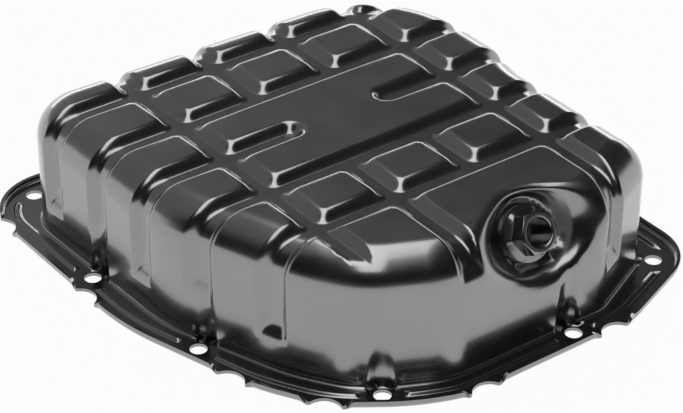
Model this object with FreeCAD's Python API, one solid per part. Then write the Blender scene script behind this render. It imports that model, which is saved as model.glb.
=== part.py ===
import FreeCAD, Part
import math
import os

V = FreeCAD.Vector
Z_AXIS = V(0, 0, 1)

# Engine oil pan, one deep-drawn steel pressing with a flanged drain plug.
# It stands on its sealing flange, bottom side up: the sealing face is z = 0,
# +X points to the drain plug side and +Z to the bottom of the sump.

# Pressed sheet
sheet = 1.5
cut_margin = 1.0
floor_height = 58.5
pad_height = 3.7
shoulder_radius = 17.0

# Wall outline: corner points and corner radii, counter-clockwise from the front left
wall_corners = [
    (-105.0, -103.3, 24.0),
    (6.0, -100.0, 70.0),
    (66.0, -78.2, 100.0),
    (92.1, -60.9, 45.0),
    (108.0, -28.2, 40.0),
    (108.5, 54.0, 17.0),
    (89.0, 95.5, 17.0),
    (6.0, 95.5, 30.0),
    (-16.0, 101.5, 30.0),
    (-98.5, 101.5, 58.0),
]

# Flange edge: the same, 13 to 20 mm outside the wall
flange_corners = [
    (-124.5, -115.8, 30.0),
    (-2.5, -115.8, 120.0),
    (64.4, -95.8, 100.0),
    (93.0, -79.3, 60.0),
    (113.0, -50.9, 100.0),
    (121.7, -28.9, 45.0),
    (121.7, 61.4, 30.0),
    (100.7, 114.4, 28.0),
    (10.0, 114.4, 50.0),
    (-12.0, 118.5, 50.0),
    (-118.5, 118.5, 76.0),
]
lip_height = 2.6
edge_chamfer = 0.9

# Mounting bolts, M6 with a flanged head
bolt_hole = 7.5
bolt_head = 13.0
bolt_head_clearance = 1.3
relief_height = 42.0
relief_flare = 7.0
bolt_places = [
    (-112.7, -91.5),
    (-40.7, -105.5),
    (29.3, -98.0),
    (99.7, -56.1),
    (113.3, 34.3),
    (93.0, 98.1),
    (29.3, 106.0),
    (-40.7, 110.0),
    (-90.3, 90.3),
    (-112.7, 44.5),
    (-112.7, -23.5),
]

# Sealing bead on the flange
bead_width = 5.0
bead_height = 1.2
bead_edge_distance = 5.5
bead_hole_gap = 5.5

# Scallops in the flange edge, where the turned-up lip stops
scallop_width = 14.0
scallop_depth = 5.2
lip_run_out = 4.0

# Waffle grooves: each has its place, the heights where it ends on the walls at its two
# ends, and the stretches where a wider pad interrupts it
groove_top_half = 6.3
groove_floor_half = 3.1
groove_foot = 18.0
short_groove_foot = 33.0
long_groove_places = [-75.2, -41.2, -8.9, 23.4, 57.4]
cross_groove_places = [-56.8, -17.0, 22.8, 62.6]
u1, u2, u3, u4, u5 = long_groove_places
v1, v2, v3, v4 = cross_groove_places
beyond = 200.0
long_grooves = [
    (u1, groove_foot, groove_foot, []),
    (u2, short_groove_foot, short_groove_foot, []),
    (u3, groove_foot, groove_foot, [(v1, v4)]),
    (u4, short_groove_foot, short_groove_foot, []),
    (u5, groove_foot, groove_foot, []),
]
cross_grooves = [
    (v1, groove_foot, groove_foot, [(u5, beyond)]),
    (v2, groove_foot, 45.0, [(u2, u4)]),
    (v3, groove_foot, groove_foot, [(u2, u4), (u5, beyond)]),
    (v4, groove_foot, 25.0, []),
]

# The first cross groove runs straight out of the shoulder beyond this long groove
run_outs = [(u5, v1)]

# Blind slots along the middle long groove, from a cross groove to a rounded end
slots = [(v1, v2), (v4, v3)]

# Scallops: the side of the pan, and the place along that side
scallops = [
    ("front", -99.0),
    ("front", -30.5),
    ("front", 54.5),
    ("front", 92.0),
    ("right", -19.3),
    ("right", 50.5),
    ("back", 46.0),
    ("back", -24.0),
    ("left", 10.0),
]

# Drain plug M14 x 1.5 with a hollow hexagon head and a sealing washer, in a pocket
# of the side wall; it points outward and up by its tilt
plug_tilt = 29.0
plug_place = v3
plug_depth_in = 16.9
plug_below_floor = 13.8
plug_thread = 14.0
plug_thread_length = 15.0
plug_across_flats = 17.0
plug_turn = 30.0
plug_head_height = 7.2
plug_flange = 25.0
plug_flange_height = 2.5
plug_flange_edge = 1.0
plug_hollow = 12.6
plug_hollow_depth = 8.5
washer_outside = 24.0
washer_thickness = 1.6
washer_clearance = 0.3
thread_clearance = 0.05
sheet_hole_clearance = 0.5
boss_outside = 24.0
boss_height = 11.0
pocket_floor_radius = 15.5
pocket_length = 22.0
pocket_flare_side = 17.0
pocket_flare_up = 4.0
pocket_mouth_shift = 2.0

crown_height = floor_height + pad_height


def edge_lines(corners):
    """Start point and unit direction of each edge of a corner list."""
    lines = []
    for i, (x, y) in enumerate([corner[:2] for corner in corners]):
        nx, ny = corners[(i + 1) % len(corners)][:2]
        length = math.hypot(nx - x, ny - y)
        lines.append((x, y, (nx - x) / length, (ny - y) / length))
    return lines


def moved_corners(corners, outward):
    """Corner list with every edge moved outward."""
    lines = []
    for x, y, dx, dy in edge_lines(corners):
        lines.append((x + dy * outward, y - dx * outward, dx, dy))
    moved = []
    for i, (x, y, dx, dy) in enumerate(lines):
        px, py, pdx, pdy = lines[i - 1]
        cross = pdx * dy - pdy * dx
        t = ((x - px) * dy - (y - py) * dx) / cross
        turn = math.copysign(1.0, cross)
        radius = max(corners[i][2] + turn * outward, 1.0)
        moved.append((px + t * pdx, py + t * pdy, radius))
    return moved


def rounded_wire(corners, z):
    """Closed wire through a corner list, each corner rounded by its radius."""
    lines = edge_lines(corners)
    starts = []
    for i, (x, y, radius) in enumerate(corners):
        pdx, pdy = lines[i - 1][2:]
        dx, dy = lines[i][2:]
        turn = math.acos(max(-1.0, min(1.0, pdx * dx + pdy * dy)))
        reach = radius * math.tan(turn / 2.0)
        arc_in = V(x - pdx * reach, y - pdy * reach, z)
        arc_out = V(x + dx * reach, y + dy * reach, z)
        bisector = V(dx - pdx, dy - pdy, 0)
        bisector.normalize()
        to_middle = radius / math.cos(turn / 2.0) - radius
        middle = V(x, y, z) + bisector * to_middle
        starts.append((arc_in, middle, arc_out))
    edges = []
    for i, (arc_in, middle, arc_out) in enumerate(starts):
        edges.append(Part.Arc(arc_in, middle, arc_out).toShape())
        following = starts[(i + 1) % len(starts)][0]
        if arc_out.distanceToPoint(following) > 0.01:
            edges.append(Part.LineSegment(arc_out, following).toShape())
    return Part.Wire(edges)


def wall_outline(inset):
    """Corner list of the wall, moved inward by inset."""
    return moved_corners(wall_corners, -inset)


def flange_outline(inset):
    """Corner list of the flange edge, moved inward by inset."""
    return moved_corners(flange_corners, -inset)


def plate(corners, bottom, top):
    """Flat solid between two heights over a rounded outline."""
    face = Part.Face(rounded_wire(corners, bottom))
    return face.extrude(V(0, 0, top - bottom))


def pressed_form(inset, bottom):
    """Plain drawn form without grooves: wall outline with a rounded shoulder."""
    crown = crown_height - inset
    block = plate(wall_outline(inset), bottom, crown)
    rim = [edge for edge in block.Edges if edge.BoundBox.ZMin > crown - 0.01]
    return block.makeFillet(shoulder_radius - inset, rim)


def section_wire(form, axis, place):
    """Section of a form across an axis, its first edge the bottom one, run from low to high."""
    edges = Part.sortEdges(form.slice(axis, place)[0].Edges)[0]
    heights = [edge.BoundBox.ZMax for edge in edges]
    first = heights.index(min(heights))
    edges = edges[first:] + edges[:first]
    run = edges[0].lastVertex(True).Point - edges[0].firstVertex(True).Point
    if run.x + run.y < 0:
        edges = [edge.reversed() for edge in [edges[0]] + edges[:0:-1]]
    return Part.Wire(edges)


def groove_reach(along, low_end, low_height, high_end, high_height):
    """Prism that holds a groove between its ends on two walls, each ramped out at 45 degrees."""
    inner = 2 * pad_height
    outer = 30.0
    profile = [
        (low_end - outer, low_height - outer),
        (low_end + inner, low_height + inner),
        (high_end - inner, high_height + inner),
        (high_end + outer, high_height - outer),
        (high_end + outer, crown_height + outer),
        (low_end - outer, crown_height + outer),
    ]
    across = V(along.y, along.x, 0)
    points = [along * a + Z_AXIS * z - across * beyond for a, z in profile]
    face = Part.Face(Part.makePolygon(points + [points[0]]))
    return face.extrude(across * 2 * beyond)


def groove_cutter(forms, axis, groove, inset):
    """What one groove takes away: a slab less the lofted slice that stays under it."""
    place, low_height, high_height, gaps = groove
    along = V(axis.y, axis.x, 0)
    high, low, grown, over = forms
    spread = inset * math.tan(math.atan2(pad_height, groove_top_half - groove_floor_half) / 2)
    top_half = groove_top_half + spread + over
    floor_half = groove_floor_half + spread
    slice_under = Part.makeLoft(
        [
            section_wire(grown, axis, place - top_half),
            section_wire(low, axis, place - floor_half),
            section_wire(low, axis, place + floor_half),
            section_wire(grown, axis, place + top_half),
        ],
        True,
        True,
    )
    ends = section_wire(high, axis, place).BoundBox
    low_end, high_end = (ends.YMin, ends.YMax) if along.y else (ends.XMin, ends.XMax)
    corner = axis * (place - top_half) + along * (low_end - 20)
    size = axis * 2 * top_half + along * (high_end - low_end + 40)
    slab = Part.makeBox(size.x, size.y, crown_height, corner)
    cutter = slab.cut(slice_under)
    cutter = cutter.common(groove_reach(along, low_end, low_height, high_end, high_height))
    for start, stop in gaps:
        stay = axis * 2 * beyond + along * (stop - start)
        corner = along * start - axis * beyond
        cutter = cutter.cut(Part.makeBox(stay.x, stay.y, 2 * crown_height, corner))
    return cutter


def straight_cutter(start, along, length, inset):
    """Straight groove with sloped sides from a point of the pad, and its two half widths."""
    spread = inset * math.tan(math.atan2(pad_height, groove_top_half - groove_floor_half) / 2)
    slope = (groove_top_half - groove_floor_half) / pad_height
    rise = pad_height + cut_margin
    floor_half = groove_floor_half + spread
    top_half = floor_half + slope * rise
    bottom = start + Z_AXIS * (floor_height - inset)
    top = bottom + Z_AXIS * rise
    side = V(along.y, -along.x, 0)
    profile = [
        bottom - side * floor_half,
        bottom + side * floor_half,
        top + side * top_half,
        top - side * top_half,
    ]
    run = Part.Face(Part.makePolygon(profile + [profile[0]])).extrude(along * length)
    return run, floor_half, top_half


def slot_cutter(start, stop, inset):
    """Blind slot along Y in the middle pad, with a rounded conical end at stop."""
    along = V(0, math.copysign(1.0, stop - start), 0)
    top_half = straight_cutter(V(u3, start, 0), along, 1.0, inset)[2]
    length = abs(stop - start) - top_half
    run, floor_half, top_half = straight_cutter(V(u3, start, 0), along, length, inset)
    middle = V(u3, start, floor_height - inset) + along * length
    return run.fuse(Part.makeCone(floor_half, top_half, pad_height + cut_margin, middle))


def plug_axis():
    """Seat centre and outward direction of the drain plug."""
    tilt = math.radians(plug_tilt)
    wall = max(x for x, y, radius in wall_corners)
    seat = V(wall - plug_depth_in, plug_place, floor_height - plug_below_floor)
    return seat, V(math.cos(tilt), 0, math.sin(tilt))


def pocket_cutter(inset):
    """Pocket for the drain plug: round seat, flared to a wide mouth."""
    seat, out = plug_axis()
    floor = seat - out * inset
    mouth = seat + out * pocket_length
    up = V(-out.z, 0, out.x)
    mouth = mouth + up * (pocket_flare_up / 2) - V(0, pocket_mouth_shift, 0)
    circle = Part.Circle(floor, out, pocket_floor_radius + inset)
    ellipse = Part.Ellipse(
        mouth + V(0, pocket_floor_radius + pocket_flare_side + inset, 0),
        mouth + up * (pocket_floor_radius + pocket_flare_up / 2 + inset),
        mouth,
    )
    floor_wire = Part.Wire(circle.toShape())
    mouth_wire = Part.Wire(ellipse.toShape())
    return Part.makeLoft([floor_wire, mouth_wire], True, True)


def place_on(corners, side, place):
    """Point of a rounded outline on one side of the pan, at a place along that side."""
    wire = rounded_wire(corners, 0)
    if side in ("front", "back"):
        ray = Part.makeLine(V(place, -beyond, 0), V(place, beyond, 0))
    else:
        ray = Part.makeLine(V(-beyond, place, 0), V(beyond, place, 0))
    points = [vertex.Point for vertex in wire.section(ray).Vertexes]
    order = sorted(points, key=lambda point: point.x + point.y)
    return order[0] if side in ("front", "left") else order[-1]


def hole_stand(place):
    """A bolt hole's centre, the outward direction there and how far outside the wall it is."""
    hole = V(place[0], place[1], 0)
    rim = rounded_wire(flange_outline(0), 0).distToShape(Part.Vertex(hole))[1][0][0]
    wall = rounded_wire(wall_outline(0), 0).distToShape(Part.Vertex(rim))[1][0][0]
    outward = rim - hole
    outward.normalize()
    return hole, outward, (hole - wall).dot(outward)


def relief_face(stand, reach, inset):
    """Section of a bolt relief: a bay round the bolt head, flared into the wall by tangent arcs."""
    hole, outward, wall_distance = stand
    along = V(-outward.y, outward.x, 0)
    bay = reach + inset
    flare = relief_flare - inset
    flare_depth = wall_distance + relief_flare
    spread = math.sqrt((reach + relief_flare) ** 2 - flare_depth ** 2)
    start = hole - outward * cut_margin
    far = hole + outward * relief_height
    points = []
    for side in (-1, 1):
        centre = hole - outward * flare_depth + along * side * spread
        to_hole = hole - centre
        to_hole.normalize()
        tangent = centre + to_hole * flare
        wall_side = centre + outward * flare
        between = to_hole + outward
        between.normalize()
        points.append((wall_side, centre + between * flare, tangent))
    (wall_low, middle_low, tangent_low), (wall_high, middle_high, tangent_high) = points
    out_low = wall_low + (far - start)
    out_high = wall_high + (far - start)
    edges = [
        Part.Arc(wall_low, middle_low, tangent_low).toShape(),
        Part.Arc(tangent_low, hole - outward * bay, tangent_high).toShape(),
        Part.Arc(tangent_high, middle_high, wall_high).toShape(),
        Part.LineSegment(wall_high, out_high).toShape(),
        Part.LineSegment(out_high, out_low).toShape(),
        Part.LineSegment(out_low, wall_low).toShape(),
    ]
    return Part.Face(Part.Wire(edges))


def head_reliefs(inset):
    """Bays in the wall that clear the bolt heads and fade out upward."""
    reach = bolt_head / 2 + bolt_head_clearance
    reliefs = []
    for place in bolt_places:
        stand = hole_stand(place)
        hole, outward, wall_distance = stand
        if wall_distance < reach:
            along = V(-outward.y, outward.x, 0)
            draft = math.atan2(reach - wall_distance + cut_margin, relief_height)
            direction = outward * math.sin(draft) + Z_AXIS * math.cos(draft)
            section = relief_face(stand, reach, inset)
            section.rotate(hole, along, math.degrees(draft))
            section.translate(direction * -3 * cut_margin)
            reliefs.append(section.extrude(direction * (relief_height + 3 * cut_margin)))
    return reliefs


def pan_body(inset, bottom):
    """Waffled sump body, as a solid block, inset by the sheet for its inside."""
    over = 1.0
    growth = over * pad_height / (groove_top_half - groove_floor_half)
    high = pressed_form(inset, bottom)
    low = pressed_form(inset + pad_height, bottom - cut_margin)
    grown = pressed_form(inset - growth, bottom - cut_margin)
    forms = (high, low, grown, over)
    cutters = [groove_cutter(forms, V(1, 0, 0), groove, inset) for groove in long_grooves]
    cutters += [groove_cutter(forms, V(0, 1, 0), groove, inset) for groove in cross_grooves]
    cutters += [slot_cutter(start, stop, inset) for start, stop in slots]
    for start, place in run_outs:
        cutters.append(straight_cutter(V(start, place, 0), V(1, 0, 0), beyond, inset)[0])
    cutters.append(pocket_cutter(inset))
    cutters += head_reliefs(inset)
    return high.cut(cutters)


def bead_ring(grow, bottom, top):
    """Sealing bead on the flange, stopped short of every bolt hole."""
    outer = plate(flange_outline(bead_edge_distance - grow), bottom, top)
    inner = plate(flange_outline(bead_edge_distance + bead_width + grow), bottom, top)
    ring = outer.cut(inner)
    gap = bolt_hole / 2 + bead_hole_gap - grow
    for x, y in bolt_places:
        ring = ring.cut(Part.makeCylinder(gap, top - bottom, V(x, y, bottom)))
    return ring


def scallop_cutter(side, place):
    """Round bite out of the flange edge, wider above so that the lip runs out to it."""
    half = scallop_width / 2
    radius = (half * half + scallop_depth * scallop_depth) / (2 * scallop_depth)
    centre = place_on(flange_outline(scallop_depth - radius), side, place)
    bite = Part.makeCylinder(radius, sheet + 2, centre - Z_AXIS)
    slope = lip_run_out / lip_height
    rise = lip_height + 1
    run_out = Part.makeCone(radius, radius + slope * rise, rise, centre + Z_AXIS * sheet)
    return bite.fuse(run_out)


def flange():
    """Flat sealing flange with its turned-up lip, bead, bolt holes and scallops."""
    lip_top = sheet + lip_height
    base = plate(flange_outline(0), 0, lip_top)
    bend = [edge for edge in base.Edges if edge.BoundBox.ZMax < 0.01]
    base = base.makeChamfer(edge_chamfer, bend)
    base = base.cut(plate(flange_outline(sheet), sheet, lip_top + cut_margin))
    base = base.fuse(bead_ring(0, sheet - 0.5, sheet + bead_height))
    cutters = [bead_ring(-0.5, -cut_margin, bead_height)]
    cutters += [Part.makeCylinder(bolt_hole / 2, 3 * sheet, V(x, y, -cut_margin)) for x, y in bolt_places]
    cutters += [scallop_cutter(side, place) for side, place in scallops]
    for cutter in cutters:
        base = base.cut(cutter)
    return base


def oil_pan():
    """The one-piece pressing: flange and waffled sump, hollowed to sheet thickness."""
    seat, out = plug_axis()
    hole = (plug_thread + sheet_hole_clearance) / 2
    pan = flange().fuse(pan_body(0, 0))
    pan = pan.cut(pan_body(sheet, -cut_margin))
    return pan.cut(Part.makeCylinder(hole, 6 * sheet, seat - out * 3 * sheet, out))


def drain_boss():
    """Threaded ring welded inside the pocket floor; it takes the plug."""
    seat, out = plug_axis()
    face = seat - out * sheet
    ring = Part.makeCylinder(boss_outside / 2, boss_height, face, out * -1)
    bore = plug_thread / 2 + thread_clearance
    ring = ring.cut(Part.makeCylinder(bore, boss_height + 2, face + out, out * -1))
    return ring.makeChamfer(1.0, ring_edges(ring, boss_outside / 2, face - out * boss_height))


def ring_edges(shape, radius, centre):
    """Circular edges of a shape with a given radius and centre."""
    found = []
    for edge in shape.Edges:
        curve = edge.Curve
        if isinstance(curve, Part.Circle) and abs(curve.Radius - radius) < 0.01:
            if curve.Center.distanceToPoint(centre) < 0.01:
                found.append(edge)
    return found


def drain_washer():
    """Flat sealing washer under the plug's flange."""
    seat, out = plug_axis()
    disc = Part.makeCylinder(washer_outside / 2, washer_thickness, seat, out)
    inside = plug_thread / 2 + washer_clearance
    return disc.cut(Part.makeCylinder(inside, washer_thickness + 2, seat - out, out))


def drain_plug():
    """Plug: shank, flange and hollow hexagon head."""
    seat, out = plug_axis()
    under = seat + out * washer_thickness
    shank = Part.makeCylinder(plug_thread / 2, plug_thread_length, under, out * -1)
    tip = ring_edges(shank, plug_thread / 2, under - out * plug_thread_length)
    shank = shank.makeChamfer(1.2, tip)
    collar = Part.makeCylinder(plug_flange / 2, plug_flange_edge, under, out)
    corner_radius = plug_across_flats / 2 / math.cos(math.pi / 6)
    cone_rise = plug_flange_height - plug_flange_edge
    collar_top = under + out * plug_flange_edge
    slope = Part.makeCone(plug_flange / 2 - 1.0, corner_radius, cone_rise, collar_top, out)
    collar = collar.fuse(slope)
    head_base = under + out * plug_flange_height
    up = V(-out.z, 0, out.x)
    corners = []
    for i in range(7):
        angle = math.radians(60 * i + plug_turn)
        corners.append(head_base + (up * math.cos(angle) + V(0, math.sin(angle), 0)) * corner_radius)
    hexagon = Part.Face(Part.makePolygon(corners)).extrude(out * plug_head_height)
    crown_slope = math.tan(math.radians(30))
    flat_radius = plug_across_flats / 2 - 0.3
    cone_height = (corner_radius + 1 - flat_radius) * crown_slope
    cone_base = head_base + out * (plug_head_height - cone_height)
    turned = Part.makeCone(corner_radius + 1, flat_radius, cone_height, cone_base, out)
    turned = turned.fuse(Part.makeCylinder(corner_radius + 1, plug_head_height - cone_height, head_base, out))
    hexagon = hexagon.common(turned)
    top = head_base + out * plug_head_height
    hollow = Part.makeCylinder(plug_hollow / 2, plug_hollow_depth, top, out * -1)
    plug = shank.fuse(collar).fuse(hexagon).cut(hollow)
    mouth = ring_edges(plug, plug_hollow / 2, top)
    return plug.makeChamfer(0.5, mouth)


def main():
    os.makedirs("parts", exist_ok=True)
    pieces = {
        "oil_pan": oil_pan(),
        "drain_boss": drain_boss(),
        "drain_plug": drain_plug(),
        "drain_washer": drain_washer(),
    }
    middle = rounded_wire(flange_outline(0), 0).BoundBox.Center
    for name, shape in pieces.items():
        shape.translate(V(-middle.x, -middle.y, 0))
        shape.exportStep("parts/" + name + ".step")


main()
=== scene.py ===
import math

import bmesh
import bpy
import numpy as np
from mathutils import Matrix, Vector


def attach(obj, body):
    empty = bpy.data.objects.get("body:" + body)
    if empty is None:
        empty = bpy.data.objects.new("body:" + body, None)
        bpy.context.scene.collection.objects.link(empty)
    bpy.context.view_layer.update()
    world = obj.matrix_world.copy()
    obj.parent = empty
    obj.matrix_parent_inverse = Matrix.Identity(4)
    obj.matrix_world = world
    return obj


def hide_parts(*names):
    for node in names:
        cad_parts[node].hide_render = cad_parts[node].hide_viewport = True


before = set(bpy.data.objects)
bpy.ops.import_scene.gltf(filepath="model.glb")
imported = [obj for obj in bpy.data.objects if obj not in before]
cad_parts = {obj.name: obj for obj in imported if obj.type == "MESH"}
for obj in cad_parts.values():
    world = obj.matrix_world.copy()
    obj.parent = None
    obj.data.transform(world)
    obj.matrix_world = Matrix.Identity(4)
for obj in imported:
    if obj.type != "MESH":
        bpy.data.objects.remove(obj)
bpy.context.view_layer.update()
mm = 0.001
slopeStep = 0.02  # step for taking slopes, in millimetres
planeSlack = 0.01  # a cut this near to a corner uses the corner
scene = bpy.context.scene

# The pan, in millimetres, bottom side up; +X is the drain plug's side
pan = {
    "sheet": 1.5,
    "floor": 58.5,  # height of the groove floors
    "crown": 62.2,  # height of the pads
    "shoulder": 17.0,  # radius between the wall and the pads
    "foot": 2.0,  # bend between flange and wall
    "columns": 3.2,  # mesh spacing along the wall
    "footRows": 4,
    "rows": [(12.0, 2), (24.0, 7), (45.2, 5)],  # height reached up the wall, rows on the way
    "shoulderRows": 10,
    "weld": 0.02,  # corners nearer than this become one
    "shift": (1.011, -1.35),  # from the outline's own middle to the frame's
    "wall": [  # corner x, y and radius
        (-105.0, -103.3, 24.0),
        (6.0, -100.0, 70.0),
        (66.0, -78.2, 100.0),
        (92.1, -60.9, 45.0),
        (108.0, -28.2, 40.0),
        (108.5, 54.0, 17.0),
        (89.0, 95.5, 17.0),
        (6.0, 95.5, 30.0),
        (-16.0, 101.5, 30.0),
        (-98.5, 101.5, 58.0),
    ],
}


def outlineParts(corners):  # the arcs and straight runs of an outline with rounded corners
    count = len(corners)
    fillets = []
    for i in range(count):
        here = np.array(corners[i][:2])
        into = here - np.array(corners[i - 1][:2])
        out = np.array(corners[(i + 1) % count][:2]) - here
        into, out = into / np.linalg.norm(into), out / np.linalg.norm(out)
        side = math.copysign(1.0, into[0] * out[1] - into[1] * out[0])
        turn = math.acos(max(-1.0, min(1.0, float(into @ out))))
        radius = corners[i][2]
        reach = radius * math.tan(turn / 2)
        start = here - into * reach
        centre = start + np.array([-into[1], into[0]]) * side * radius
        fillets.append((start, here + out * reach, centre, radius, side, turn))
    parts = []
    for i, (start, end, centre, radius, side, turn) in enumerate(fillets):
        parts.append(("arc", start, end, centre, radius, side, radius * turn))
        following = fillets[(i + 1) % count][0]
        run = float(np.linalg.norm(following - end))
        if run > 0.01:
            parts.append(("run", end, following, None, 0.0, 1.0, run))
    return parts


def nearestOn(parts, xy):  # depth inside an outline, its nearest point and its outward normal
    best = np.full(len(xy), 1e9)
    foot = np.zeros((len(xy), 2))
    normal = np.zeros((len(xy), 2))
    for kind, start, end, centre, radius, side, length in parts:
        if kind == "run":
            along = (end - start) / length
            t = np.clip((xy - start) @ along, 0, length)
            q = start + t[:, None] * along
            n = np.broadcast_to(np.array([along[1], -along[0]]), q.shape)
        else:
            ray = xy - centre
            far = np.maximum(np.linalg.norm(ray, axis=1), 1e-9)
            unit = ray / far[:, None]
            middle = (start + end) / 2 - centre
            middle = middle / np.linalg.norm(middle)
            limit = math.cos(length / radius / 2)
            inside = unit @ middle >= limit - 1e-9
            toStart = np.linalg.norm(xy - start, axis=1)
            toEnd = np.linalg.norm(xy - end, axis=1)
            tip = np.where((toStart < toEnd)[:, None], start, end)
            q = np.where(inside[:, None], centre + unit * radius, tip)
            n = (q - centre) / radius * side
        gap = np.linalg.norm(xy - q, axis=1)
        closer = gap < best - 1e-9
        best = np.where(closer, gap, best)
        foot = np.where(closer[:, None], q, foot)
        normal = np.where(closer[:, None], n, normal)
    depth = -np.einsum("ij,ij->i", xy - foot, normal)
    return depth, foot, normal


def outlineSamples(parts, spacing):  # even points round an outline, with outward normals
    points, normals = [], []
    for kind, start, end, centre, radius, side, length in parts:
        count = max(1, round(length / spacing))
        for k in range(count):
            t = k / count
            if kind == "run":
                along = (end - start) / length
                points.append(start + along * length * t)
                normals.append((along[1], -along[0]))
            else:
                angle = side * length / radius * t
                c, s = math.cos(angle), math.sin(angle)
                ray = start - centre
                ray = np.array([ray[0] * c - ray[1] * s, ray[0] * s + ray[1] * c])
                points.append(centre + ray)
                normals.append(tuple(ray / radius * side))
    return np.array(points), np.array(normals)


def softOver(x, soft):  # max(x, 0) with a rounded corner
    return np.where(x < -soft, 0.0, np.where(x > soft, x, (x + soft) ** 2 / (4 * soft)))


def softMin(a, b, soft):
    return b - softOver(b - a, soft)


def smoothStep(t):
    t = np.clip(t, 0, 1)
    return t * t * (3 - 2 * t)


wallParts = outlineParts(pan["wall"])


def wallShape(points):  # points put on the plain drawn form, with their outward normals
    depth, foot, normal = nearestOn(wallParts, points[:, :2])
    z = points[:, 2]
    radius, bend, sheet = pan["shoulder"], pan["foot"], pan["sheet"]
    spring = pan["crown"] - radius  # height where the shoulder starts
    onCrown = (depth >= radius) & (z > spring)
    onShoulder = (z > spring) & ~onCrown
    onFoot = z < sheet + bend
    overShoulder = np.arctan2(z - spring, radius - depth)
    overFoot = np.arctan2(sheet + bend - z, bend + depth)
    lean = np.where(onShoulder, overShoulder, np.where(onFoot, overFoot, 0.0))
    draw, rise = 1 - np.cos(lean), np.sin(lean)
    inward = np.where(onShoulder, radius * draw, np.where(onFoot, -bend * draw, 0.0))
    low = np.where(onFoot, sheet + bend - bend * rise, z)
    height = np.where(onShoulder, spring + radius * rise, low)
    height = np.where(onCrown, pan["crown"], height)
    flat = np.where(onCrown[:, None], points[:, :2], foot - normal * inward[:, None])
    up = np.where(onCrown, 1.0, rise)
    out = np.where(onCrown, 0.0, np.cos(lean))
    return np.column_stack([flat, height]), np.column_stack([normal * out[:, None], up])


# Waffle grooves: place, height and slope of each end on the wall, stretches left out
grooves = {
    "topHalf": 6.3,
    "floorHalf": 3.1,
    "soft": 1.3,  # half width of the rounding of the pads' edges
    "fade": 2.0,  # softness of the grooves' ends
    "corner": 5.0,  # rounding of the pads' corners where two grooves cross
    "acrossX": [
        (-75.2, (16.0, 0.6), (16.0, 0.6), []),
        (-41.2, (22.0, 0.3), (22.0, 0.3), []),
        (-8.9, (16.0, 0.6), (16.0, 0.6), [(-56.8, 62.6)]),
        (23.4, (22.0, 0.3), (22.0, 0.3), []),
        (57.4, (16.0, 0.6), (16.0, 0.6), []),
    ],
    "acrossY": [
        (-56.8, (16.0, 0.6), (16.0, 0.6), [(57.4, 200.0)]),
        (-17.0, (16.0, 0.6), (46.0, 0.6), [(-41.2, 23.4)]),
        (22.8, (16.0, 0.6), (16.0, 0.6), [(-41.2, 23.4), (57.4, 200.0)]),
        (62.6, (16.0, 0.6), (20.0, 0.6), []),
    ],
    "slots": [(-8.9, -56.8, -23.3), (-8.9, 62.6, 29.1)],  # x, open end, blind end
    "runOut": (57.4, -56.8),  # here a groove leaves the shoulder straight
    "outside": -50.0,  # stands for a place far from any groove
    "leastLean": 0.3,  # limits the pull where the surface leans along the groove
    "cuts": (-1, -0.45, 0, 0.45, 1),  # mesh lines at a pad's edge, in shares of soft
    "padCut": 3.0,  # one more mesh line on the pad
    "slotEnd": (9.0, 9.5, 60.0),  # finer mesh: half width, half length, lowest height
    "slotLevel": 0.9,  # the slots stay where the surface is at least this level
}


def grooveDepth(reach):  # reach is how far a point lies inside a groove's edge
    width = grooves["topHalf"] - grooves["floorHalf"]
    slope = (pan["crown"] - pan["floor"]) / width
    soft = grooves["soft"]
    return slope * (softOver(reach, soft) - softOver(reach - width, soft))


def familyReach(place, along, z, family):  # how far inside this family's grooves
    best = np.full(len(z), grooves["outside"])
    for middle, lowEnd, highEnd, gaps in family:
        side = grooves["topHalf"] - np.abs(place - middle)
        foot, steep = (np.where(along < 0, lowEnd[k], highEnd[k]) for k in (0, 1))
        reach = softMin(side, steep * (z - foot), grooves["fade"])
        for start, stop in gaps:
            reach = np.where((along > start) & (along < stop), grooves["outside"], reach)
        best = np.maximum(best, reach)
    return best


def pressWaffle(base, normal):
    x, y, z = base.T
    nx, ny, nz = normal.T
    reachX = familyReach(x, y, z, grooves["acrossX"])
    for middle, start, stop in grooves["slots"]:
        low, high = min(start, stop), max(start, stop)
        gap = np.hypot(x - middle, y - np.clip(y, low, high))
        level = nz > grooves["slotLevel"]
        reachX = np.where(level, np.maximum(reachX, grooves["topHalf"] - gap), reachX)
    reachY = familyReach(y, x, z, grooves["acrossY"])
    corner = grooves["corner"]
    near = np.maximum(corner - np.abs(reachX - reachY), 0)
    depth = grooveDepth(np.maximum(reachX, reachY) + near**2 / (4 * corner))
    share = smoothStep(0.5 + (reachX - reachY) / (2 * corner))
    # each groove is pressed square to its own run, so that it stays straight over the shoulder
    zero, least = np.zeros(len(x)), grooves["leastLean"]
    alongX = np.column_stack([zero, ny, nz]) / np.maximum(ny**2 + nz**2, least)[:, None]
    alongY = np.column_stack([nx, zero, nz]) / np.maximum(nx**2 + nz**2, least)[:, None]
    pull = share[:, None] * alongX + (1 - share)[:, None] * alongY
    return depth, base - depth[:, None] * pull


def pressRunOut(base, depth, moved):  # the groove that leaves the shoulder at its floor's height
    x, y, z = base.T
    startX, middleY = grooves["runOut"]
    straight = grooveDepth(grooves["topHalf"] - np.abs(y - middleY))
    under = pan["crown"] - z
    cut = softOver(straight - under, np.clip(under, 0.001, 1.0))  # sharp at the crown itself
    moved[:, 2] -= np.where(x > startX, np.maximum(cut - depth, 0), 0)


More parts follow.
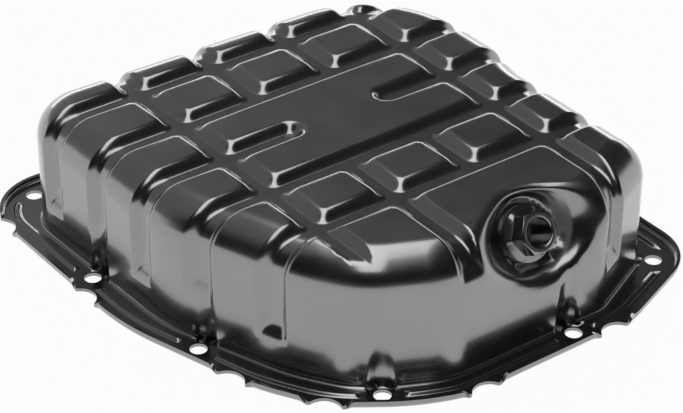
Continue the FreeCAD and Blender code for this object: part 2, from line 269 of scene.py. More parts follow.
# The flange's edge, with its turned-up lip, and its sealing beads
flange = {
    "edge": [
        (-124.5, -115.8, 30.0),
        (-2.5, -115.8, 120.0),
        (64.4, -95.8, 100.0),
        (93.0, -79.3, 60.0),
        (113.0, -50.9, 100.0),
        (121.7, -28.9, 45.0),
        (121.7, 61.4, 30.0),
        (100.7, 114.4, 28.0),
        (10.0, 114.4, 50.0),
        (-12.0, 118.5, 50.0),
        (-118.5, 118.5, 76.0),
    ],
    "lip": 2.6,  # height over the flange
    "bend": 1.2,  # inner radius where the lip turns up
    "spacing": 2.0,
    "fineSpacing": 0.8,  # near a scallop and at a bead's ends
    "fineReach": 13.0,
    "scallopHalf": 7.0,
    "scallopDepth": 4.8,
    "scallopSoft": 0.8,
    "scallopFlare": 3.0,  # how steeply a scallop ends beside its round
    "runOut": 5.0,  # length over which the lip fades
    "runOutStart": 0.5,  # the fading starts this far inside a scallop's half width
    "cutEdge": 0.35,  # width left to the lip's rows where the lip has faded
    "scallops": [
        ("front", -99.0),
        ("front", -30.5),
        ("front", 54.5),
        ("front", 92.0),
        ("right", -19.3),
        ("right", 50.5),
        ("back", 46.0),
        ("back", -24.0),
        ("left", 10.0),
    ],
    "beadMiddle": 7.9,  # distance of the bead's middle from the edge
    "beadHalf": 1.9,
    "beadHeight": 1.2,
    "beadSlope": 1.0,  # width of the bead's slopes
    "beadSoft": 0.5,
    "beadFade": 1.5,
    "beadGap": 9.3,  # from a bolt's middle to the bead's end
    "beadRows": (0.3, 0.9, 1.4, 1.9, 2.4),  # mesh lines each side of the bead's middle
    "beadStart": 7.0,  # from a bolt to the bead's mesh, along the edge
    "beadEnd": 6.0,  # length with fine spacing at a bead's ends
    "beadSpacing": 3.0,
    "walkStep": 0.25,  # step of the walk that measures the edge
    "sideSlack": 0.6,  # a place on a side is found within this
    "lastGap": 0.5,  # the lip's mesh closes on itself before this
}

edgeParts = outlineParts(flange["edge"])

# Bolt holes, and the bays in the wall that clear their heads
bolts = {
    "hole": 3.75,
    "segments": 32,
    "reach": 7.8,
    "height": 42.0,
    "soft": 1.4,
    "flare": 2.0,  # how steeply a bay ends beside its half circle
    "range": (-5.0, 30.0, 50.0),  # a bay moves nothing past these: behind, beside, above
    "fineMesh": (14.0, 9.0, 22.0),  # finer mesh: behind, beside, above
    "places": [
        (-112.7, -91.5),
        (-40.7, -105.5),
        (29.3, -98.0),
        (99.7, -56.1),
        (113.3, 34.3),
        (93.0, 98.1),
        (29.3, 106.0),
        (-40.7, 110.0),
        (-90.3, 90.3),
        (-112.7, 44.5),
        (-112.7, -23.5),
    ],
}


def boltStand(place):  # a bolt, the way out from it, and its distance from the wall
    hole = np.array([place])
    rim, outward = nearestOn(edgeParts, hole)[1:]
    wall = nearestOn(wallParts, rim)[1]
    out = outward[0]
    return tuple(place), tuple(out), float((hole[0] - wall[0]) @ out)


boltStands = [s for s in map(boltStand, bolts["places"]) if s[2] < bolts["reach"]]


def pressBays(base, moved):
    x, y, z = base.T
    reach = bolts["reach"]
    front, beside, above = bolts["range"]
    for (hx, hy), (ox, oy), gapToWall in boltStands:
        rx, ry = x - hx, y - hy
        side = np.abs(-rx * oy + ry * ox)
        behind = -(rx * ox + ry * oy)
        slack = behind + (reach - gapToWall + 1) * z / bolts["height"]
        arc = np.sqrt(np.maximum(reach**2 - side**2, 0))
        bay = arc - bolts["flare"] * np.maximum(side - reach, 0) - slack
        bay = softOver(bay, bolts["soft"]) * (behind > front) * (side < beside) * (z < above)
        moved[:, 0] -= ox * bay
        moved[:, 1] -= oy * bay


# Plug pocket: seat, tilt, floor radius, and how far the mouth flares at its depth
pocket = {
    "seat": (91.6, 22.8, 44.7),
    "tilt": 29.0,
    "floor": 15.5,
    "depth": 22.0,
    "side": 17.0,
    "top": 9.0,
    "bottom": 12.0,
    "shift": -2.0,
    "bowl": 2.5,  # rounding at the floor
    "rim": 11.0,  # rounding at the mouth
    "hole": 7.2,
    "nearSeat": (-4.0, 60.0, 70.0),  # the pocket moves nothing past these: out, up, sideways
    "wallSpan": (-14.0, 60.0),  # the side wall is looked for between these depths
    "halvings": 24,
    "crowd": (0.93, 0.6, 0.26),  # ring the mesh is drawn to, how strongly, from how wide
    "crowdReach": 0.6,
    "rimFrom": -2.0,  # the rim's mesh starts here, out from the seat
    "holeDepth": 4.0,  # faces this near to the seat's plane belong to the pocket's floor
    "overFlange": 20.0,  # open edges above this height belong to the plug's hole
    "fineRing": (0.6, 1.3),  # finer mesh between these rings
    "gridX": (60.5, 94.0),  # even small faces on the crown, from and to
    "gridY": (-16.0, 62.0),
    "gridStep": 2.6,
    "gridFaces": (52.0, -26.0, 72.0, 48.0),  # past this x, between these y, above this z
}


def pocketFrame():  # the pocket's seat, the way out of it, and the way up its tilted floor
    tilt = math.radians(pocket["tilt"])
    out = np.array([math.cos(tilt), 0, math.sin(tilt)])
    up = np.array([-math.sin(tilt), 0, math.cos(tilt)])
    return np.array(pocket["seat"]), out, up


def inPocket(points):  # outwards, up and sideways from the pocket's seat
    seat, out, up = pocketFrame()
    ray = points - seat
    return ray @ out, ray @ up, ray[..., 1]


def mouthRing(u, y, depth):  # 1 on the pocket's side wall at this depth, less inside
    t = depth / pocket["depth"]
    wide = pocket["floor"] + pocket["side"] * t
    tall = pocket["floor"] + (pocket["top"] + pocket["bottom"]) / 2 * t
    lift = (pocket["top"] - pocket["bottom"]) / 2 * t
    return np.hypot((y - pocket["shift"] * t) / wide, (u - lift) / tall)


def intoPocket(points):
    a, u, y = inPocket(points)
    least, tall, wide = pocket["nearSeat"]
    near = (a > least) & (np.abs(u) < tall) & (np.abs(y) < wide)
    low, high = (np.full(len(a), depth) for depth in pocket["wallSpan"])
    for _ in range(pocket["halvings"]):
        middle = (low + high) / 2
        inside = mouthRing(u, y, middle) < 1
        high = np.where(inside, middle, high)
        low = np.where(inside, low, middle)
    shell = softOver((low + high) / 2, pocket["bowl"])
    sunk = np.where(near, softMin(a, shell, pocket["rim"]), a)
    return points + (sunk - a)[:, None] * pocketFrame()[1]


def crowdPocketRim(points):  # draws the mesh together where the pocket's side wall will be
    a, u, y = inPocket(points)
    t = np.maximum(a, 0) / pocket["depth"]
    ring = mouthRing(u, y, np.maximum(a, 0))
    goal, strength, width = pocket["crowd"]
    gap = ring - goal
    near = (a > pocket["rimFrom"]) & (np.abs(gap) < pocket["crowdReach"])
    share = np.where(near, strength * np.exp(-((gap / width) ** 2)), 0)
    factor = (goal + gap * (1 - share)) / np.maximum(ring, 0.05)
    middleU = (pocket["top"] - pocket["bottom"]) / 2 * t
    middleY = pocket["shift"] * t
    moved = points + ((u - middleU) * (factor - 1))[:, None] * pocketFrame()[2]
    moved[:, 1] += (y - middleY) * (factor - 1)
    return moved


def pressed(points):  # points of the plain drawn form, moved as the press moves them
    base, normal = wallShape(points)
    depth, moved = pressWaffle(base, normal)
    pressRunOut(base, depth, moved)
    pressBays(base, moved)
    return intoPocket(moved)


def pressedNormals(points):
    base, normal = wallShape(points)
    side = np.cross(normal, np.array([0.0, 0.0, 1.0]))
    flat = np.linalg.norm(side, axis=1) < 0.01
    side[flat] = (1, 0, 0)
    side /= np.linalg.norm(side, axis=1)[:, None]
    along = np.cross(normal, side)
    first = pressed(base + side * slopeStep) - pressed(base - side * slopeStep)
    second = pressed(base + along * slopeStep) - pressed(base - along * slopeStep)
    found = np.cross(first, second)
    found /= np.maximum(np.linalg.norm(found, axis=1), 1e-12)[:, None]
    return found


def plainSump():  # the drawn form without grooves: foot, wall, shoulder and crown
    bm = bmesh.new()
    points, normals = outlineSamples(wallParts, pan["columns"])
    bend, sheet, radius = pan["foot"], pan["sheet"], pan["shoulder"]
    spring = pan["crown"] - radius
    rows = []  # distance outside the wall, height
    for k in range(pan["footRows"] + 1):
        angle = math.radians(90 - 90 / pan["footRows"] * k)
        rows.append((bend * (1 - math.cos(angle)), sheet + bend * (1 - math.sin(angle))))
    low = sheet + bend
    for high, steps in pan["rows"]:
        rows += [(0.0, low + (high - low) * k / steps) for k in range(1, steps + 1)]
        low = high
    for k in range(1, pan["shoulderRows"] + 1):
        angle = math.radians(90 / pan["shoulderRows"] * k)
        rows.append((-radius * (1 - math.cos(angle)), spring + radius * math.sin(angle)))
    previous = None
    for out, z in rows:
        ring = [bm.verts.new((*(p + n * out), z)) for p, n in zip(points, normals)]
        edges = [bm.edges.new((ring[i - 1], ring[i])) for i in range(len(ring))]
        if previous:
            bmesh.ops.bridge_loops(bm, edges=previous + edges)
        previous = edges
    bmesh.ops.remove_doubles(bm, verts=bm.verts[:], dist=pan["weld"])
    rim = [e for e in bm.edges if e.is_boundary and min(v.co.z for v in e.verts) > spring]
    bmesh.ops.contextual_create(bm, geom=rim)
    return bm


def cutAcross(bm, geom, across, place):
    bmesh.ops.bisect_plane(
        bm, geom=geom, dist=planeSlack, plane_co=across * place, plane_no=across
    )


def cutAlongGrooves(bm):  # mesh lines along the edges of every groove
    top, floor, soft = grooves["topHalf"], grooves["floorHalf"], grooves["soft"]
    offsets = [edge + soft * k for edge in (floor, top) for k in grooves["cuts"]]
    offsets.append(top + grooves["padCut"])
    for across, family in (((1, 0, 0), "acrossX"), ((0, 1, 0), "acrossY")):
        for groove in grooves[family]:
            for offset in offsets + [-o for o in offsets]:
                geom = bm.verts[:] + bm.edges[:] + bm.faces[:]
                cutAcross(bm, geom, Vector(across), groove[0] + offset)


def gridAtPocket(bm):  # even small faces on the crown where the pocket will be pressed in
    pastX, fromY, toY, above = pocket["gridFaces"]

    def wanted(co):
        return co.z > above and co.x > pastX and fromY < co.y < toY

    for across, span in (((1, 0, 0), "gridX"), ((0, 1, 0), "gridY")):
        place, last = pocket[span]
        while place < last:
            faces = [f for f in bm.faces if all(wanted(v.co) for v in f.verts)]
            verts, edges = {v for f in faces for v in f.verts}, {e for f in faces for e in f.edges}
            cutAcross(bm, [*verts, *edges, *faces], Vector(across), place)
            place += pocket["gridStep"]


def refineAround(bm, wanted, cuts):
    edges = [e for e in bm.edges if all(wanted(v.co) for v in e.verts)]
    bmesh.ops.subdivide_edges(bm, edges=edges, cuts=cuts, use_grid_fill=True)


def nearPocketRim(co):
    a, u, y = inPocket(np.array(co))
    low, high = pocket["fineRing"]
    return a > pocket["rimFrom"] and low < mouthRing(u, y, max(a, 0)) < high


def nearBay(co):
    behind, beside, above = bolts["fineMesh"]
    for (hx, hy), (ox, oy), _ in boltStands:
        rx, ry = co.x - hx, co.y - hy
        if co.z < above and abs(ry * ox - rx * oy) < beside and abs(rx * ox + ry * oy) < behind:
            return True
    return False


def nearSlotEnd(co):
    wide, length, lowest = grooves["slotEnd"]
    ends = [abs(co.x - x) < wide and abs(co.y - blind) < length for x, _, blind in grooves["slots"]]
    return co.z > lowest and any(ends)


def faceOutwards(bm):
    bmesh.ops.recalc_face_normals(bm, faces=bm.faces[:])
    if max(bm.faces, key=lambda f: f.calc_area()).normal.z < 0:  # the widest face is on top
        bmesh.ops.reverse_faces(bm, faces=bm.faces[:])


def openPlugHole(bm, layer):  # the hole in the pocket's floor
    seat, out, up = pocketFrame()
    inHole = []
    for f in bm.faces:
        a, u, y = inPocket(np.array(f.calc_center_median()))
        if math.hypot(u, y) < pocket["hole"] and abs(a) < pocket["holeDepth"]:
            inHole.append(f)
    bmesh.ops.delete(bm, geom=inHole, context="FACES")
    for v in bm.verts:
        if v.is_boundary and v.co.z > pocket["overFlange"]:
            _, u, y = inPocket(np.array(v.co))
            v.co = seat + (up * u + np.array([0, y, 0])) * pocket["hole"] / math.hypot(u, y)
            v[layer] = out


def edgeWalk(parts):  # fine walk round an outline, to place things by their distance along it
    points, normals = outlineSamples(parts, flange["walkStep"])
    points, normals = np.vstack([points, points[:1]]), np.vstack([normals, normals[:1]])
    along = np.concatenate([[0], np.cumsum(np.linalg.norm(np.diff(points, axis=0), axis=1))])

    def at(s):
        s = np.mod(s, along[-1])
        p = np.column_stack([np.interp(s, along, points[:, k]) for k in (0, 1)])
        n = np.column_stack([np.interp(s, along, normals[:, k]) for k in (0, 1)])
        return p, n / np.linalg.norm(n, axis=1)[:, None]

    return along, points, at


def sideOf(along, points, side, place):  # distance along the walk of a place on one side
    axis = 0 if side in ("front", "back") else 1
    sign = 1 if side in ("back", "right") else -1
    near = np.abs(points[:, axis] - place) < flange["sideSlack"]
    return along[np.argmax(np.where(near, sign * points[:, 1 - axis], -1e9))]


def addGrid(bm, layer, grid, normals, closed):
    rows = []
    for points, leans in zip(grid, normals):
        row = []
        for p, n in zip(points, leans):
            v = bm.verts.new(p)
            v[layer] = n
            row.append(v)
        rows.append(row)
    count = len(rows[0])
    for low, high in zip(rows, rows[1:]):
        for i in range(count if closed else count - 1):
            j = (i + 1) % count
            bm.faces.new((low[i], low[j], high[j], high[i]))
    return rows


def ringEdges(bm, ring):
    pairs = [(ring[i - 1], ring[i]) for i in range(len(ring))]
    return [bm.edges.get(pair) or bm.edges.new(pair) for pair in pairs]


def turnedLip(bm, layer, along, walk, at):
    total = along[-1]
    sheet, bend, top = pan["sheet"], flange["bend"], flange["lip"]
    notches = np.array([sideOf(along, walk, *spot) for spot in flange["scallops"]])

    def fromNotch(s):
        return np.abs(np.mod(s[:, None] - notches + total / 2, total) - total / 2).min(1)

    places, s = [], 0.0
    while s < total - flange["lastGap"]:
        places.append(s)
        fine = fromNotch(np.array([s]))[0] < flange["fineReach"]
        s += flange["fineSpacing"] if fine else flange["spacing"]
    points, normals = at(np.array(places))
    t = fromNotch(np.array(places))
    half, deep = flange["scallopHalf"], flange["scallopDepth"]
    radius = (half * half + deep * deep) / (2 * deep)
    bite = np.sqrt(np.maximum(radius**2 - t**2, 0)) - (radius - deep)
    bite -= flange["scallopFlare"] * np.maximum(t - radius, 0)
    bite = softOver(bite, flange["scallopSoft"])
    rise = smoothStep((t - half + flange["runOutStart"]) / flange["runOut"])
    profile = []  # distance in from the edge, height over the flange, lean
    for a in np.radians([0, 22.5, 45, 67.5, 90]):
        profile.append((sheet + bend * (1 - math.sin(a)), bend * (1 - math.cos(a)), a))
    upright = math.pi / 2
    profile += [(sheet, bend + (top - bend) * 0.5, upright), (sheet, top, upright)]
    grid, leans = [], []
    for k, (inset, height, lean) in enumerate(profile):
        flat = flange["cutEdge"] * (1 - k / (len(profile) - 1))
        inward = rise * inset + (1 - rise) * flat + bite
        xy = points - normals * inward[:, None]
        grid.append(np.column_stack([xy, sheet + rise * height]))
        sideways = rise * math.sin(lean)
        leans.append(np.column_stack([-normals * sideways[:, None], np.sqrt(1 - sideways**2)]))
    return ringEdges(bm, addGrid(bm, layer, grid, leans, True)[0])


def boltHoles(bm, layer):
    edges, radius, count = [], bolts["hole"], bolts["segments"]
    for x, y in bolts["places"]:
        ring = []
        for k in range(count):
            a = 2 * math.pi * k / count
            spot = (x + radius * math.cos(a), y + radius * math.sin(a), pan["sheet"])
            ring.append(bm.verts.new(spot))
            ring[-1][layer] = (0, 0, 1)
        edges += ringEdges(bm, ring)
    return edges


def sealingBeads(bm, layer, along, walk, at):  # one bead from each bolt to the next
    holes = np.array(bolts["places"])
    stops = sorted(along[np.argmin(np.linalg.norm(walk - hole, axis=1))] for hole in holes)
    middle, wide, slope = flange["beadMiddle"], flange["beadHalf"], flange["beadSlope"]
    rowsOut = flange["beadRows"]
    insets = middle + np.array([-r for r in rowsOut[::-1]] + list(rowsOut))

    def beadRise(s, inset):
        p, n = at(s)
        xy = p - n * inset[:, None]
        clear = np.linalg.norm(xy[:, None] - holes[None], axis=2).min(1) - flange["beadGap"]
        reach = softMin(wide - np.abs(inset - middle), clear, flange["beadFade"])
        over = softOver(reach, flange["beadSoft"]) - softOver(reach - slope, flange["beadSoft"])
        return flange["beadHeight"] * over / slope

    edges = []
    for start, stop in zip(stops, stops[1:] + [stops[0] + along[-1]]):
        start, stop = start + flange["beadStart"], stop - flange["beadStart"]
        end, e = flange["beadEnd"], slopeStep
        near = np.arange(0, end, flange["fineSpacing"])
        count = max(2, round((stop - start - 2 * end) / flange["beadSpacing"]))
        between = np.linspace(start + end, stop - end, count)
        s = np.concatenate([start + near, between, stop - near[::-1]])
        p, n = at(s)
        tangent = np.column_stack([-n[:, 1], n[:, 0]])
        grid, leans = [], []
        for inset in insets:
            i = np.full(len(s), inset)
            alongSlope = (beadRise(s + e, i) - beadRise(s - e, i)) / (2 * e)
            inSlope = (beadRise(s, i + e) - beadRise(s, i - e)) / (2 * e)
            grid.append(np.column_stack([p - n * inset, pan["sheet"] + beadRise(s, i)]))
            tip = -alongSlope[:, None] * tangent + inSlope[:, None] * n
            lean = np.column_stack([tip, np.ones(len(s))])
            leans.append(lean / np.linalg.norm(lean, axis=1)[:, None])
        rows = addGrid(bm, layer, grid, leans, False)
        ends = [r[-1] for r in rows[1:-1]], [r[0] for r in rows[-2:0:-1]]
        edges += ringEdges(bm, rows[0] + ends[0] + rows[-1][::-1] + ends[1])
    return edges


def addFlange(bm, layer):  # lip, bolt holes and beads, and the flat sheet between them
    walk = edgeWalk(edgeParts)
    borders = turnedLip(bm, layer, *walk) + boltHoles(bm, layer)
    borders += sealingBeads(bm, layer, *walk)
    level = pan["sheet"] + planeSlack
    for e in bm.edges:
        if e.is_boundary and all(v.tag and v.co.z < level for v in e.verts):  # the wall's foot
            borders.append(e)
    bmesh.ops.triangle_fill(
        bm, edges=borders, use_beauty=True, use_dissolve=False, normal=(0, 0, 1)
    )


def innerSkin(bm, layer):  # the sheet's other side; returns the cut edges' faces
    outer = bm.faces[:]
    originals = {v for f in outer for v in f.verts}
    rims = [e for e in bm.edges if e.is_boundary]
    made = bmesh.ops.duplicate(bm, geom=bm.verts[:] + bm.edges[:] + outer)
    pairs = made["vert_map"]
    copies = [g for g in made["geom"] if isinstance(g, bmesh.types.BMFace)]
    bmesh.ops.reverse_faces(bm, faces=copies)
    for v in originals:
        w = pairs[v]
        w.co = v.co - Vector(v[layer]) * pan["sheet"]
        w[layer] = -Vector(v[layer])
    walls = []
    for e in rims:
        loop = e.link_loops[0]
        first, second = loop.vert, loop.link_loop_next.vert
        walls.append(bm.faces.new((second, first, pairs[first], pairs[second])))
    return walls


def newObject(name, bm):
    mesh = bpy.data.meshes.new(name)
    bm.to_mesh(mesh)
    bm.free()
    made = bpy.data.objects.new(name, mesh)
    scene.collection.objects.link(made)
    return made


def buildPan():
    bm = plainSump()
    layer = bm.verts.layers.float_vector.new("skinNormal")
    cutAlongGrooves(bm)
    gridAtPocket(bm)
    for wanted, cuts in ((nearPocketRim, 1), (nearSlotEnd, 2), (nearBay, 1)):
        refineAround(bm, wanted, cuts)
    points = crowdPocketRim(np.array([v.co for v in bm.verts]))
    shaped, leans = pressed(points), pressedNormals(points)
    faceOutwards(bm)
    for v, p, n in zip(bm.verts, shaped, leans):
        v.co, v[layer] = p, n
        v.tag = True  # tells the wall from the flange
    openPlugHole(bm, layer)
    addFlange(bm, layer)
    faceOutwards(bm)
    openEdges = sum(e.is_boundary for e in bm.edges)
    print("stage: outer skin", len(bm.faces), "faces, open edges", openEdges)
    walls = innerSkin(bm, layer)
    bm.faces.index_update()
    wallIndex = {f.index for f in walls}
    shift = Vector((*pan["shift"], 0))
    for v in bm.verts:
        v.co = (v.co + shift) * mm
    leans = [Vector(v[layer]) for v in bm.verts]
    badEdges = sum(not e.is_manifold for e in bm.edges)
    pressing = newObject("oil_pan_pressing", bm)
    mesh = pressing.data
    triangles = sum(len(p.vertices) - 2 for p in mesh.polygons)
    print("stage: pan", len(mesh.polygons), "faces, bad edges", badEdges, "triangles", triangles)
    loopNormals = [None] * len(mesh.loops)
    for poly in mesh.polygons:
        for i in poly.loop_indices:
            lean = leans[mesh.loops[i].vertex_index]
            loopNormals[i] = tuple(poly.normal if poly.index in wallIndex else lean)
    mesh.normals_split_custom_set(loopNormals)
    return pressing


pressing = buildPan()
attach(pressing, "pan")
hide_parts("oil_pan")


# The photograph's own view, in degrees, millimetres of lens, and metres
photoCamera = {
    "azimuth": 53.051,
    "elevation": 32.948,
    "roll": 0.242,
    "lens": 133.44,
    "sensor": 36.0,
    "place": (0.74293, -0.56159, 0.62122),
    "clip": (0.05, 50.0),
}


def makeCamera():
    a, e = math.radians(photoCamera["azimuth"]), math.radians(photoCamera["elevation"])
    back = Vector((math.sin(a) * math.cos(e), -math.cos(a) * math.cos(e), math.sin(e)))
    right = Vector((math.cos(a), math.sin(a), 0))
    up = back.cross(right)
    r = math.radians(photoCamera["roll"])
    c, s = math.cos(r), math.sin(r)
    right, up = right * c + up * s, up * c - right * s
    data = bpy.data.cameras.new("camera")
    data.lens = photoCamera["lens"]
    data.sensor_width = photoCamera["sensor"]
    data.clip_start, data.clip_end = photoCamera["clip"]
    camera = bpy.data.objects.new("camera", data)
    scene.collection.objects.link(camera)
    turn = Matrix((right, up, back)).transposed().to_4x4()
    camera.matrix_world = Matrix.Translation(photoCamera["place"]) @ turn
    scene.camera = camera


def put(tree, kind, inputs=(), **settings):  # one node, with its inputs set or linked
    node = tree.nodes.new(kind)
    for name, value in settings.items():
        setattr(node, name, value)
    for name, value in inputs:
        if isinstance(value, bpy.types.NodeSocket):
            tree.links.new(value, node.inputs[name])
        else:
            node.inputs[name].default_value = value
    return node


# Finishes: range of colour and of roughness, metal share, strength of the orange peel and
# of the sheet's waves, clear coat
finishes = {
    "panPaint": {
        "dark": (0.225, 0.23, 0.235),
        "light": (0.275, 0.28, 0.285),
        "metal": 0.97,
        "rough": (0.19, 0.27),
        "peel": 0.02,
        "wave": 0.08,
        "coat": 0.8,
        "coatRough": 0.08,
    },
    "plugOxide": {
        "dark": (0.2, 0.2, 0.205),
        "light": (0.27, 0.27, 0.275),
        "metal": 0.96,
        "rough": (0.16, 0.26),
        "peel": 0.03,
        "wave": 0.0,
        "coat": 0.5,
        "coatRough": 0.1,
    },
    "washerOxide": {
        "dark": (0.13, 0.13, 0.135),
        "light": (0.2, 0.2, 0.205),
        "metal": 0.9,
        "rough": (0.2, 0.35),
        "peel": 0.1,
        "wave": 0.0,
        "coat": 0.2,
        "coatRough": 0.15,
    },
}

# What the finishes share: noise scale and detail, bump depth in metres
spray = {
    "cloud": (38.0, 4.0),
    "grit": (1500.0, 2.0),
    "wave": (55.0, 1.0),
    "cloudSpan": (0.3, 0.7),
    "peelDepth": 0.0001,
    "waveDepth": 0.001,
    "coatIor": 1.6,
}


def sprayedSteel(name):
    look = finishes[name]
    m = bpy.data.materials.new(name)
    m.use_nodes = True
    tree = m.node_tree
    shader = tree.nodes["Principled BSDF"]
    place = put(tree, "ShaderNodeTexCoord").outputs["Object"]

    def noise(pattern):
        scale, detail = spray[pattern]
        inputs = [("Vector", place), ("Scale", scale), ("Detail", detail)]
        return put(tree, "ShaderNodeTexNoise", inputs).outputs["Fac"]

    cloud, grit, wave = noise("cloud"), noise("grit"), noise("wave")
    colours = [(6, (*look["dark"], 1)), (7, (*look["light"], 1))]  # the node's colour sockets
    tone = put(tree, "ShaderNodeMix", [("Factor", cloud)] + colours, data_type="RGBA")
    tree.links.new(tone.outputs[2], shader.inputs["Base Color"])
    (thin, thick), (low, high) = spray["cloudSpan"], look["rough"]
    span = [("From Min", thin), ("From Max", thick), ("To Min", low), ("To Max", high)]
    rough = put(tree, "ShaderNodeMapRange", [("Value", cloud)] + span)
    tree.links.new(rough.outputs["Result"], shader.inputs["Roughness"])
    sheet = [("Height", wave), ("Strength", look["wave"]), ("Distance", spray["waveDepth"])]
    waves = put(tree, "ShaderNodeBump", sheet)
    skin = [("Height", grit), ("Strength", look["peel"]), ("Distance", spray["peelDepth"])]
    peel = put(tree, "ShaderNodeBump", skin + [("Normal", waves.outputs["Normal"])])
    tree.links.new(peel.outputs["Normal"], shader.inputs["Normal"])
    shader.inputs["Metallic"].default_value = look["metal"]
    shader.inputs["Coat Weight"].default_value = look["coat"]
    shader.inputs["Coat Roughness"].default_value = look["coatRough"]
    shader.inputs["Coat IOR"].default_value = spray["coatIor"]
    return m


# Drain plug, in millimetres, along its own axis from under its flange
plug = {
    "washer": 1.6,
    "flange": 25.0,
    "edge": 1.0,  # height of the flange's upright edge
    "edgeRound": (1.0, 0.2),  # rounding over that edge, in and up
    "flangeHeight": 2.5,
    "flats": 17.0,
    "root": 0.25,  # fillet round the hexagon's foot
    "head": 9.7,  # height of the head's top
    "chamfer": (0.3, 30.0),  # inside the flats, and degrees
    "hollow": 12.6,
    "hollowFloor": 1.2,
    "hollowEdge": 0.5,
    "hollowRound": (0.6, 0.2),  # rounding at the hollow's floor, and its fall to the middle
    "middle": 0.4,  # radius of the small faces that close both ends
    "thread": 14.0,
    "threadDepth": 0.75,
    "pitch": 1.5,
    "length": 15.0,
    "tip": (1.2, 1.1),  # chamfer of the tip, in and up
    "firstTurn": 1.6,  # from the tip
    "lastTurn": 2.0,  # from the flange
    "neck": (0.2, 1.2),  # plain neck: under the thread's radius, and its length
    "turn": 30.0,
    "segments": 72,
    "bevel": 0.28,
    "crisp": 24.0,  # edges sharper than this are bevelled, in degrees
    "crispFrom": -0.1,  # from the flange up, not on the thread
}


def hexRadius(angle):
    sixth = math.radians(60)
    place = (angle - math.radians(plug["turn"])) % sixth
    return plug["flats"] / 2 / math.cos(place - sixth / 2)


def plugRings():  # kind, radius or distance outside the hexagon, height; from tip to hollow
    thread, brim, bore = plug["thread"] / 2, plug["flange"] / 2, plug["hollow"] / 2
    top, foot, tip = plug["head"], plug["flangeHeight"], -plug["length"]
    tipIn, tipUp = plug["tip"]
    neckIn, neckLength = plug["neck"]
    edgeIn, edgeUp = plug["edgeRound"]
    floorRound, floorFall = plug["hollowRound"]
    neck = thread - neckIn
    rings = [("round", plug["middle"], tip), ("round", thread - tipIn, tip)]
    rings.append(("round", neck, tipUp + tip))
    z = plug["firstTurn"] + tip
    while z < -plug["lastTurn"]:  # thread
        rings.append(("round", thread, z))
        rings.append(("round", thread - plug["threadDepth"], z + plug["pitch"] / 2))
        z += plug["pitch"]
    rings += [("round", neck, -neckLength), ("round", neck, 0.0)]
    rings += [("round", brim, 0.0), ("round", brim, plug["edge"])]
    rings.append(("round", brim - edgeIn, plug["edge"] + edgeUp))
    rings += [("hex", plug["root"], foot), ("hex", 0.0, foot), ("chamfer", 0.0, top)]
    rings.append(("round", plug["flats"] / 2 - plug["chamfer"][0], top))
    rings.append(("round", bore + plug["hollowEdge"], top))
    rings.append(("round", bore, top - plug["hollowEdge"]))
    rings.append(("round", bore, plug["hollowFloor"] + floorRound))
    rings.append(("round", bore - floorRound, plug["hollowFloor"]))
    rings.append(("round", plug["middle"], plug["hollowFloor"] - floorFall))
    return rings


def buildPlug():
    bm = bmesh.new()
    inset, slope = plug["chamfer"][0], math.tan(math.radians(plug["chamfer"][1]))
    previous = None
    for kind, radius, height in plugRings():
        made = bmesh.ops.create_circle(bm, segments=plug["segments"], radius=1)["verts"]
        for v in made:
            angle = math.atan2(v.co.y, v.co.x)
            r = radius if kind == "round" else hexRadius(angle) + radius
            fall = (r - plug["flats"] / 2 + inset) * slope if kind == "chamfer" else 0.0
            v.co = (math.cos(angle) * r, math.sin(angle) * r, height - fall)
        edges = list({e for v in made for e in v.link_edges})
        if previous:
            bmesh.ops.bridge_loops(bm, edges=previous + edges)
        previous = edges
    openEdges = [e for e in bm.edges if e.is_boundary]
    for below in (True, False):
        rim = [e for e in openEdges if (e.verts[0].co.z < 0) == below]
        bmesh.ops.contextual_create(bm, geom=rim)
    bmesh.ops.recalc_face_normals(bm, faces=bm.faces[:])
    sharp = math.radians(plug["crisp"])
    crisp = []
    for e in bm.edges:
        onHead = min(v.co.z for v in e.verts) > plug["crispFrom"]
        if onHead and e.is_manifold and e.calc_face_angle() > sharp:
            crisp.append(e)
    bmesh.ops.bevel(
        bm, geom=crisp, offset=plug["bevel"], segments=2, profile=0.5, affect="EDGES",
        material=-1, clamp_overlap=True,
    )
    seat, out, up = pocketFrame()
    across = np.array([0, -1.0, 0])
    place = seat + out * plug["washer"] + np.array([*pan["shift"], 0])
    for v in bm.verts:
        v.co = (place + up * v.co.x + across * v.co.y + out * v.co.z) * mm
    piece = newObject("drain_plug_head", bm)
    piece.data.shade_smooth()
    piece.modifiers.new("flatFaces", "WEIGHTED_NORMAL").keep_sharp = True
    return piece


makeCamera()
plugHead = buildPlug()
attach(plugHead, "plug")
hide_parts("drain_plug")
print("stage: plug", len(plugHead.data.polygons), "faces")

panPaint, plugOxide, washerOxide = [sprayedSteel(name) for name in finishes]
pressing.data.materials.append(panPaint)
plugHead.data.materials.append(plugOxide)
for node, finish in [("drain_boss", panPaint), ("drain_washer", washerOxide)]:
    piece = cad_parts[node]
    piece.data.materials.clear()
    piece.data.materials.append(finish)
print("stage: finishes")


# Studio, in metres: a large softbox overhead, along the line of view, a low strip far behind
# the pan, and a white floor
studio = {
    "floorSize": 6.0,
    "floorWhite": 0.86,
    "glow": 0.96,
    "boxPlace": (0.24, -0.18, 1.15),
    "boxSize": (0.55, 1.9),
    "boxPower": 7.0,
    "stripAway": 1.6,
    "stripHeight": 0.3,
    "stripTilt": -80.0,
    "stripSize": (2.4, 0.26),
    "stripPower": 3.6,
}


def softLamp(name, place, size, power, turn):
    data = bpy.data.lights.new(name, "AREA")
    data.shape = "RECTANGLE"
    data.size, data.size_y = size
    data.energy = power
    lamp = bpy.data.objects.new(name, data)
    scene.collection.objects.link(lamp)
    lamp.location = place
    lamp.rotation_euler = turn


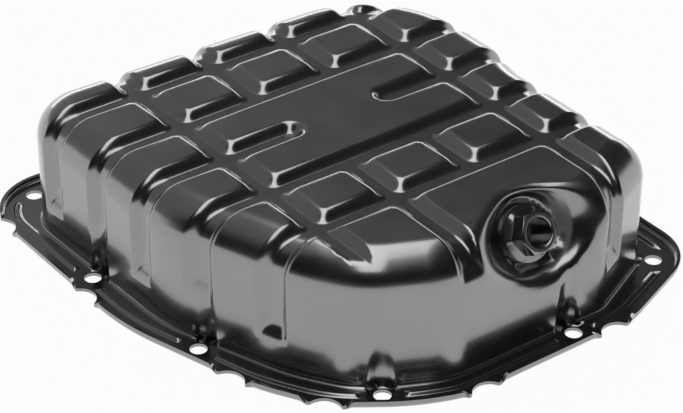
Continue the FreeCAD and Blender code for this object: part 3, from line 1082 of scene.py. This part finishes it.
def whiteFloor():
    bm = bmesh.new()
    bmesh.ops.create_grid(bm, x_segments=1, y_segments=1, size=studio["floorSize"])
    floor = newObject("floor", bm)
    m = bpy.data.materials.new("floorWhite")
    m.use_nodes = True
    tree = m.node_tree
    tree.nodes.remove(tree.nodes["Principled BSDF"])
    white = studio["floorWhite"]
    matt = put(tree, "ShaderNodeBsdfDiffuse", [("Color", (white, white, white, 1))])
    glow = put(tree, "ShaderNodeEmission", [("Color", (1, 1, 1, 1)), ("Strength", 1.0)])
    rays = put(tree, "ShaderNodeLightPath").outputs
    either = [(0, rays["Is Camera Ray"]), (1, rays["Is Glossy Ray"])]
    seen = put(tree, "ShaderNodeMath", either, operation="MAXIMUM")
    part = [(0, seen.outputs[0]), (1, studio["glow"])]
    share = put(tree, "ShaderNodeMath", part, operation="MULTIPLY")
    both = [(0, share.outputs[0]), (1, matt.outputs[0]), (2, glow.outputs[0])]
    mix = put(tree, "ShaderNodeMixShader", both)
    tree.links.new(mix.outputs[0], tree.nodes["Material Output"].inputs["Surface"])
    floor.data.materials.append(m)
    return floor


def makeLamps():
    turn = math.radians(photoCamera["azimuth"])
    away, height = studio["stripAway"], studio["stripHeight"]
    strip = (-math.sin(turn) * away, math.cos(turn) * away, height)
    tilt = math.radians(studio["stripTilt"])
    softLamp("softbox", studio["boxPlace"], studio["boxSize"], studio["boxPower"], (0, 0, turn))
    softLamp("backStrip", strip, studio["stripSize"], studio["stripPower"], (tilt, 0, turn))


# Surroundings: a white band low down behind the pan, grey above it and lighter to the left,
# dark in front
around = {
    "bandTop": 0.3,
    "bandFoot": 0.14,
    "greyRight": 0.03,
    "greyLeft": 0.24,
    "greySpan": (-0.2, 0.2),
    "backSpan": (-0.45, -0.05),
    "front": 0.015,
}


def makeWorld():
    world = bpy.data.worlds.new("studio")
    world.use_nodes = True
    tree = world.node_tree
    background = tree.nodes["Background"]
    toward = put(tree, "ShaderNodeTexCoord").outputs["Generated"]
    a = math.radians(photoCamera["azimuth"])

    def share(direction, low, high, outLow=0.0, outHigh=1.0):
        both = [(0, toward), (1, direction)]
        dot = put(tree, "ShaderNodeVectorMath", both, operation="DOT_PRODUCT")
        span = [("From Min", low), ("From Max", high), ("To Min", outLow), ("To Max", outHigh)]
        span.insert(0, ("Value", dot.outputs["Value"]))
        ramp = put(tree, "ShaderNodeMapRange", span, interpolation_type="SMOOTHSTEP")
        return ramp.outputs["Result"]

    def join(first, second, operation):
        both = [(0, first), (1, second)]
        return put(tree, "ShaderNodeMath", both, operation=operation).outputs[0]

    behind = share((-math.sin(a), math.cos(a), 0), *around["backSpan"])
    low = share((0, 0, -1), -around["bandTop"], -around["bandFoot"])
    left, greys = (-math.cos(a), -math.sin(a), 0), (around["greyRight"], around["greyLeft"])
    grey = share(left, *around["greySpan"], *greys)
    level = join(join(join(low, grey, "MAXIMUM"), behind, "MULTIPLY"), around["front"], "MAXIMUM")
    ray = put(tree, "ShaderNodeLightPath").outputs["Is Camera Ray"]
    tree.links.new(join(level, ray, "MAXIMUM"), background.inputs["Strength"])
    background.inputs["Color"].default_value = (1, 1, 1, 1)
    scene.world = world


whiteFloor()
makeLamps()
makeWorld()
scene.view_settings.view_transform = "Standard"
print("stage: studio")
